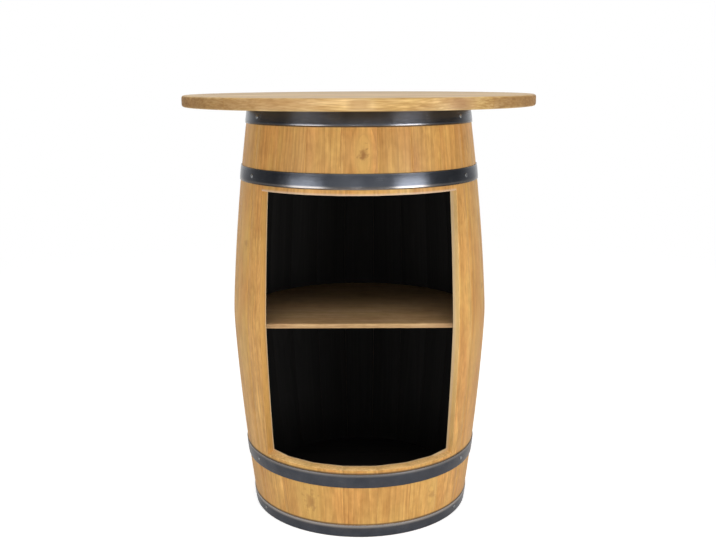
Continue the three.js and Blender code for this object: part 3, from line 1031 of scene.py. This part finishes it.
def modelHoop(name, low, high):
    middle, width, thickness = (low + high) / 2, high - low, hoop["thickness"]
    piece = addProfile(name, low, high, 0, thickness)
    startEdit(piece)
    for share, _ in hoop["crownShape"][1:-1]:
        cutLevel(low + width * share)
    for share, crown in hoop["crownShape"]:
        level = low + width * share
        pickVerts(piece, lambda co: isAt(co.z, level))
        moveBy(0, -(hoopReach(low, high, level) + thickness / 2 + crown * hoop["crown"]), 0)
    for level in (low + hoop["edgeLoop"], high - hoop["edgeLoop"]):
        cutLevel(level)

    # the edge towards the belly is rolled thin, on its outer face alone
    isHigh = middle > bellyHeight
    edge, inwards = (low, 1) if isHigh else (high, -1)
    drop = hoop["highRollDrop" if isHigh else "lowRollDrop"]
    for part in hoop["rollShares"][1:]:
        cutLevel(edge + inwards * hoop["rollRun"] * part)
    for part in hoop["rollShares"]:
        level = edge + inwards * hoop["rollRun"] * part
        outside = hoopReach(low, high, level) + thickness * 0.6
        pickVerts(piece, lambda co: isAt(co.z, level) and -co.y > outside)
        moveBy(0, drop * (1 - part) ** 2, 0)
    pickVerts(piece, lambda co: isAt(co.z, low) or isAt(co.z, high))
    bpy.ops.mesh.bevel(offset=hoop["edgeRounding"], segments=3, affect="VERTICES")

    selectAll()
    ramp = math.radians(hoop["rampDegrees"])
    spinRound(hoop["turnSteps"], 2 * math.pi - ramp)
    radius = hoopReach(low, high, middle)
    lift = thickness + hoop["gap"]
    for step in range(hoop["rampSteps"]):
        before, after = [(1 - math.cos(math.pi * (step + done) / hoop["rampSteps"])) / 2 for done in (0, 1)]
        grow = (radius + lift * after) / (radius + lift * before)
        spinRound(1, ramp / hoop["rampSteps"])
        stretch(grow, grow, 1)
    spinRound(hoop["lapSteps"], math.radians(hoop["lapDegrees"]))
    tidyMesh()
    endEdit()
    turnPiece(piece, math.radians(hoop["lapStartDegrees"]))
    smoothByAngle(piece, 40)
    return piece


for node, (low, high) in hoop["bands"].items():
    finishPiece(modelHoop(camelName(node), low, high), hoopSteel, "hoop_steel", node)
print("hoops made")

# Rivets and nails: a domed head on a short shank, square to its hoop
fastener = {
    "rivet": {"headRadius": 0.005, "headHeight": 0.0022, "shank": 0.0024, "layers": 2},
    "nail": {"headRadius": 0.004, "headHeight": 0.0016, "shank": 0.0016, "layers": 1},
    "segments": 24,
    "rings": 12,
    "shankLength": 0.003,
    "places": {
        # kind and degrees round the barrel
        "rivet_1": ("rivet", 174.545),
        "rivet_2": ("rivet", 180),
        "nail_left": ("nail", -58.6),
        "nail_right": ("nail", 58.6),
    },
}


def modelFastener(kind):
    size = fastener[kind]
    radius = size["headRadius"]
    segments, rings = fastener["segments"], fastener["rings"]
    bpy.ops.mesh.primitive_uv_sphere_add(segments=segments, ring_count=rings, radius=radius)
    piece = bpy.context.object
    piece.name = kind + "Master"
    startEdit(piece)
    cutLevel(0, keepAbove=True)
    selectAll()
    stretch(1, 1, size["headHeight"] / radius)
    pickFaces(piece, lambda centre, normal: isAt(centre.z, 0) and abs(normal.z) > 0.9)
    bpy.ops.mesh.inset(thickness=radius - size["shank"])
    bpy.ops.mesh.extrude_region_move(TRANSFORM_OT_translate={"value": (0, 0, -fastener["shankLength"])})
    return closeEdit(piece, 50)


def placeFastener(master, node, band, layers, degrees):
    low, high = band
    middle = (low + high) / 2
    slope = (hoopReach(low, high, high) - hoopReach(low, high, low)) / (high - low)
    outwards = Vector((0, -1, -slope)).normalized()
    reach = hoopReach(low, high, middle) + hoop["crown"]
    reach += layers * hoop["thickness"] + (layers - 1) * hoop["gap"]
    piece = addCopy(master, camelName(node))
    piece.rotation_mode = "QUATERNION"
    piece.rotation_quaternion = Vector((0, 0, 1)).rotation_difference(outwards)
    piece.location = (0, -reach, middle)
    applyPlace(piece)
    piece.rotation_mode = "XYZ"
    turnPiece(piece, math.radians(degrees))
    finishPiece(piece, nailSteel, "nail_steel", node)


masters = {kind: modelFastener(kind) for kind in ("rivet", "nail")}
for hoopName, band in hoop["bands"].items():
    for name, (kind, degrees) in fastener["places"].items():
        placeFastener(masters[kind], f"{hoopName}_{name}", band, fastener[kind]["layers"], degrees)
for master in masters.values():
    removePiece(master)
print("rivets and nails made")

# Table top
table = {
    "radius": 0.35,
    "thickness": 0.022,
    "edgeRounding": 0.005,
    "sides": 240,
    "faceInset": 0.004,
}


def modelTable():
    middle = fullHeight + table["thickness"] / 2
    piece = addDisc("tableTop", table["sides"], table["radius"], table["thickness"], middle)
    startEdit(piece)
    isRim = lambda co: math.hypot(co.x, co.y) > table["radius"] - 0.0001
    pickEdges(piece, isRim, lambda a, b: isAt(a.z, b.z))
    bevelEdges(table["edgeRounding"], 6)
    pickFaces(piece, lambda centre, normal: abs(normal.z) > 0.999 and math.hypot(centre.x, centre.y) < 0.01)
    bpy.ops.mesh.inset(thickness=table["faceInset"])
    return closeEdit(piece, 40)


finishPiece(modelTable(), tableWood, "table_wood", "table_top")
print("table top made")

# Shelf: straight in front, scribed to the round wall behind
shelf = {
    "top": 0.41,
    "thickness": 0.009,
    "frontReach": 0.145,
    "wallGap": 0.0015,
    "arris": 0.0008,
    "sides": 128,
}


def modelShelf():
    radius = bulgeRadius(shelf["top"] - shelf["thickness"]) - wall - shelf["wallGap"]
    middle = shelf["top"] - shelf["thickness"] / 2
    piece = addDisc("shelfBoard", shelf["sides"], radius, shelf["thickness"], middle)
    startEdit(piece)
    cutAt((0, -shelf["frontReach"], 0), (0, 1, 0), keepAbove=True)
    pickEdges(piece, lambda co: True, lambda a, b: isAt(a.z, b.z))
    bevelEdges(shelf["arris"], 3)
    return closeEdit(piece, 40)


finishPiece(modelShelf(), shelfWood, "shelf_wood", "shelf")
print("shelf made")

# Heads: boards side by side, thinned at the rim to a tongue
head = {
    "thickness": 0.018,
    "tongue": 0.008,
    "grooveGap": 0.0006,
    "bevelRun": 0.014,
    "boardCount": 4,
    "boardGap": 0.0003,
    "boardArris": 0.0005,
    "sides": 176,
}


def modelHead(name, middle):
    radius = bulgeRadius(middle) - wall + stave["crozeDepth"] - head["grooveGap"]
    disc = addDisc("headDisc", head["sides"], radius, head["tongue"], middle)
    startEdit(disc)
    for side in (-1, 1):
        pickFaces(disc, lambda centre, normal: normal.z * side > 0.9)
        bpy.ops.mesh.inset(thickness=head["bevelRun"])
        moveBy(0, 0, side * (head["thickness"] - head["tongue"]) / 2)
    tidyMesh()
    endEdit()
    boards = []
    width = 2 * radius / head["boardCount"]
    for number in range(head["boardCount"]):
        board = addCopy(disc, f"{name}Board{number}")
        startEdit(board)
        left = -radius + number * width + head["boardGap"] / 2
        right = left + width - head["boardGap"]
        if number > 0:
            cutAt((0, left, 0), (0, 1, 0), keepAbove=True)
        if number < head["boardCount"] - 1:
            cutAt((0, right, 0), (0, 1, 0), keepBelow=True)
        isJoint = lambda co: isAt(co.y, left) or isAt(co.y, right)
        pickEdges(board, isJoint, lambda a, b: abs(a.x - b.x) > 0.05)
        bevelEdges(head["boardArris"], 2)
        tidyMesh()
        endEdit()
        boards.append(board)
    removePiece(disc)
    clearSelection()
    for board in boards:
        board.select_set(True)
    bpy.context.view_layer.objects.active = boards[0]
    bpy.ops.object.join()
    boards[0].name = name
    smoothByAngle(boards[0], 30)
    return boards[0]


for level, middle in (("lower", stave["crozeMiddle"]), ("upper", fullHeight - stave["crozeMiddle"])):
    finishPiece(modelHead(f"{level}Head", middle), stainedWood, "stained_wood", f"{level}_head")
print("heads made")

# CAD nodes that keep their shape
keptNodes = [(f"shelf_cleat_{side}", stainedWood) for side in ("left", "right", "back")]
keptNodes += [(f"top_batten_{side}", battenWood) for side in ("left", "right")]
keptNodes += [(f"top_screw_{number}", nailSteel) for number in range(1, 5)]
for node, material in keptNodes:
    dress(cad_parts[node].data, material)

# Floor, light and camera
studio = {
    "floorSize": 80,
    "floorLevel": -0.0002,
    "floorColour": (0.8, 0.8, 0.8, 1),
    "floorRoughness": 0.8,
    "floorFar": (1.2, 3.2),
    "floorBehind": (0.75, 0.95),
    "floorSeen": 0.62,
    "floorGlow": 0.045,
    "farGlow": 0.4,
    "farBackGlow": 1,
    "behindRange": (0.35, 1),
    "sideStrength": 0.15,
    "backStrength": 1.08,
    "beforeRange": (-0.8, -0.94),
    "frontRange": (0.22, 0.36),
    "frontLow": 0.75,
    "frontHigh": 0.28,
    "ceilingRange": (0.3, 0.7),
    "ceiling": 0.5,
    "white": (1, 1, 1, 1),
    "black": (0, 0, 0, 1),
    "lights": (
        # name, place, aim, width, height, power
        ("leftLight", (-2.2, -1.95, 0.42), (0, 0, 0.45), 1.7, 0.9, 30),
        ("rightLight", (2.15, -1.98, 0.48), (0, 0, 0.45), 1.45, 0.9, 41.5),
        ("topLight", (0.1, -1.5, 2.8), (0, 0, 0.3), 2.4, 1.6, 32),
        ("frontLight", (-0.12, -3, 0.62), (0, 0, 0.6), 0.2, 0.16, 1.2),
    ),
}


def toCamera(tree, seen, unseen):
    path = addNode(tree, "LightPath", {}).outputs["Is Camera Ray"]
    return ranged(tree, path, 0, 1, unseen, seen)


bpy.ops.mesh.primitive_plane_add(size=studio["floorSize"], location=(0, 0, studio["floorLevel"]))
floor = bpy.context.object
floor.name = "studioFloor"
floorMaterial, floorTree, floorShader = newMaterial("studioPaper")
floorPlace = objectPlace(floorTree)
floorReach = vectorMaths(floorTree, "LENGTH", floorPlace)
far = smoothed(floorTree, floorReach, *studio["floorFar"])
floorBehind = maths(floorTree, "DIVIDE", separated(floorTree, floorPlace)[1], floorReach)
farUnseen = ranged(floorTree, floorBehind, *studio["floorBehind"], studio["farGlow"], studio["farBackGlow"])
paper = blended(floorTree, far, studio["floorColour"], studio["black"])
feed(floorTree, floorShader, {"Base Color": paper, "Roughness": studio["floorRoughness"]})
nearGlow = toCamera(floorTree, studio["floorSeen"], studio["floorGlow"])
glow = ranged(floorTree, far, 0, 1, nearGlow, toCamera(floorTree, 1, farUnseen))
feed(floorTree, floorShader, {"Emission Color": studio["white"], "Emission Strength": glow})
feed(floorTree, floorShader, {"Specular IOR Level": 0})
floor.data.materials.append(floorMaterial)

# the room is white behind the cabinet, dark beside it, grey before and above it, and white to the camera
world = bpy.data.worlds.new("studioWorld")
world.use_nodes = True
worldTree = world.node_tree
background = worldTree.nodes["Background"]
direction = separated(worldTree, addNode(worldTree, "TexCoord", {}).outputs["Generated"])
backLevels = (studio["sideStrength"], studio["backStrength"])
behind = smoothed(worldTree, direction[1], *studio["behindRange"], *backLevels)
frontLevels = (studio["frontLow"], studio["frontHigh"])
frontLevel = smoothed(worldTree, direction[2], *studio["frontRange"], *frontLevels)
before = smoothed(worldTree, direction[1], *studio["beforeRange"], 0, frontLevel)
around = plus(worldTree, behind, before)
above = smoothed(worldTree, direction[2], *studio["ceilingRange"], around, studio["ceiling"])
feed(worldTree, background, {"Color": studio["white"], "Strength": toCamera(worldTree, 1, above)})
bpy.context.scene.world = world

for name, place, aim, width, height, power in studio["lights"]:
    lamp = bpy.data.lights.new(name, "AREA")
    lamp.shape = "RECTANGLE"
    lamp.size = width
    lamp.size_y = height
    lamp.energy = power
    lampObject = bpy.data.objects.new(name, lamp)
    lampObject.location = place
    lampObject.rotation_euler = (Vector(aim) - Vector(place)).to_track_quat("-Z", "Y").to_euler()
    lampObject.visible_camera = False
    addToScene(lampObject)

view = {
    "place": (0, -1.94, 0.883),
    "pitchDegrees": 11.53,
    "yawDegrees": 0.083,
    "rollDegrees": -0.244,
    "lens": 47.866,
    "sensorWidth": 36,
}
cameraData = bpy.data.cameras.new("photoCamera")
cameraData.lens = view["lens"]
cameraData.sensor_width = view["sensorWidth"]
camera = bpy.data.objects.new("photoCamera", cameraData)
camera.location = view["place"]
turn = Matrix.Rotation(math.radians(view["yawDegrees"]), 3, "Z")
turn = turn @ Matrix.Rotation(math.radians(90 - view["pitchDegrees"]), 3, "X")
turn = turn @ Matrix.Rotation(math.radians(view["rollDegrees"]), 3, "Z")
camera.rotation_euler = turn.to_euler()
addToScene(camera)
bpy.context.scene.camera = camera
bpy.context.scene.view_settings.view_transform = "Standard"

clearSelection()
print("scene ready")
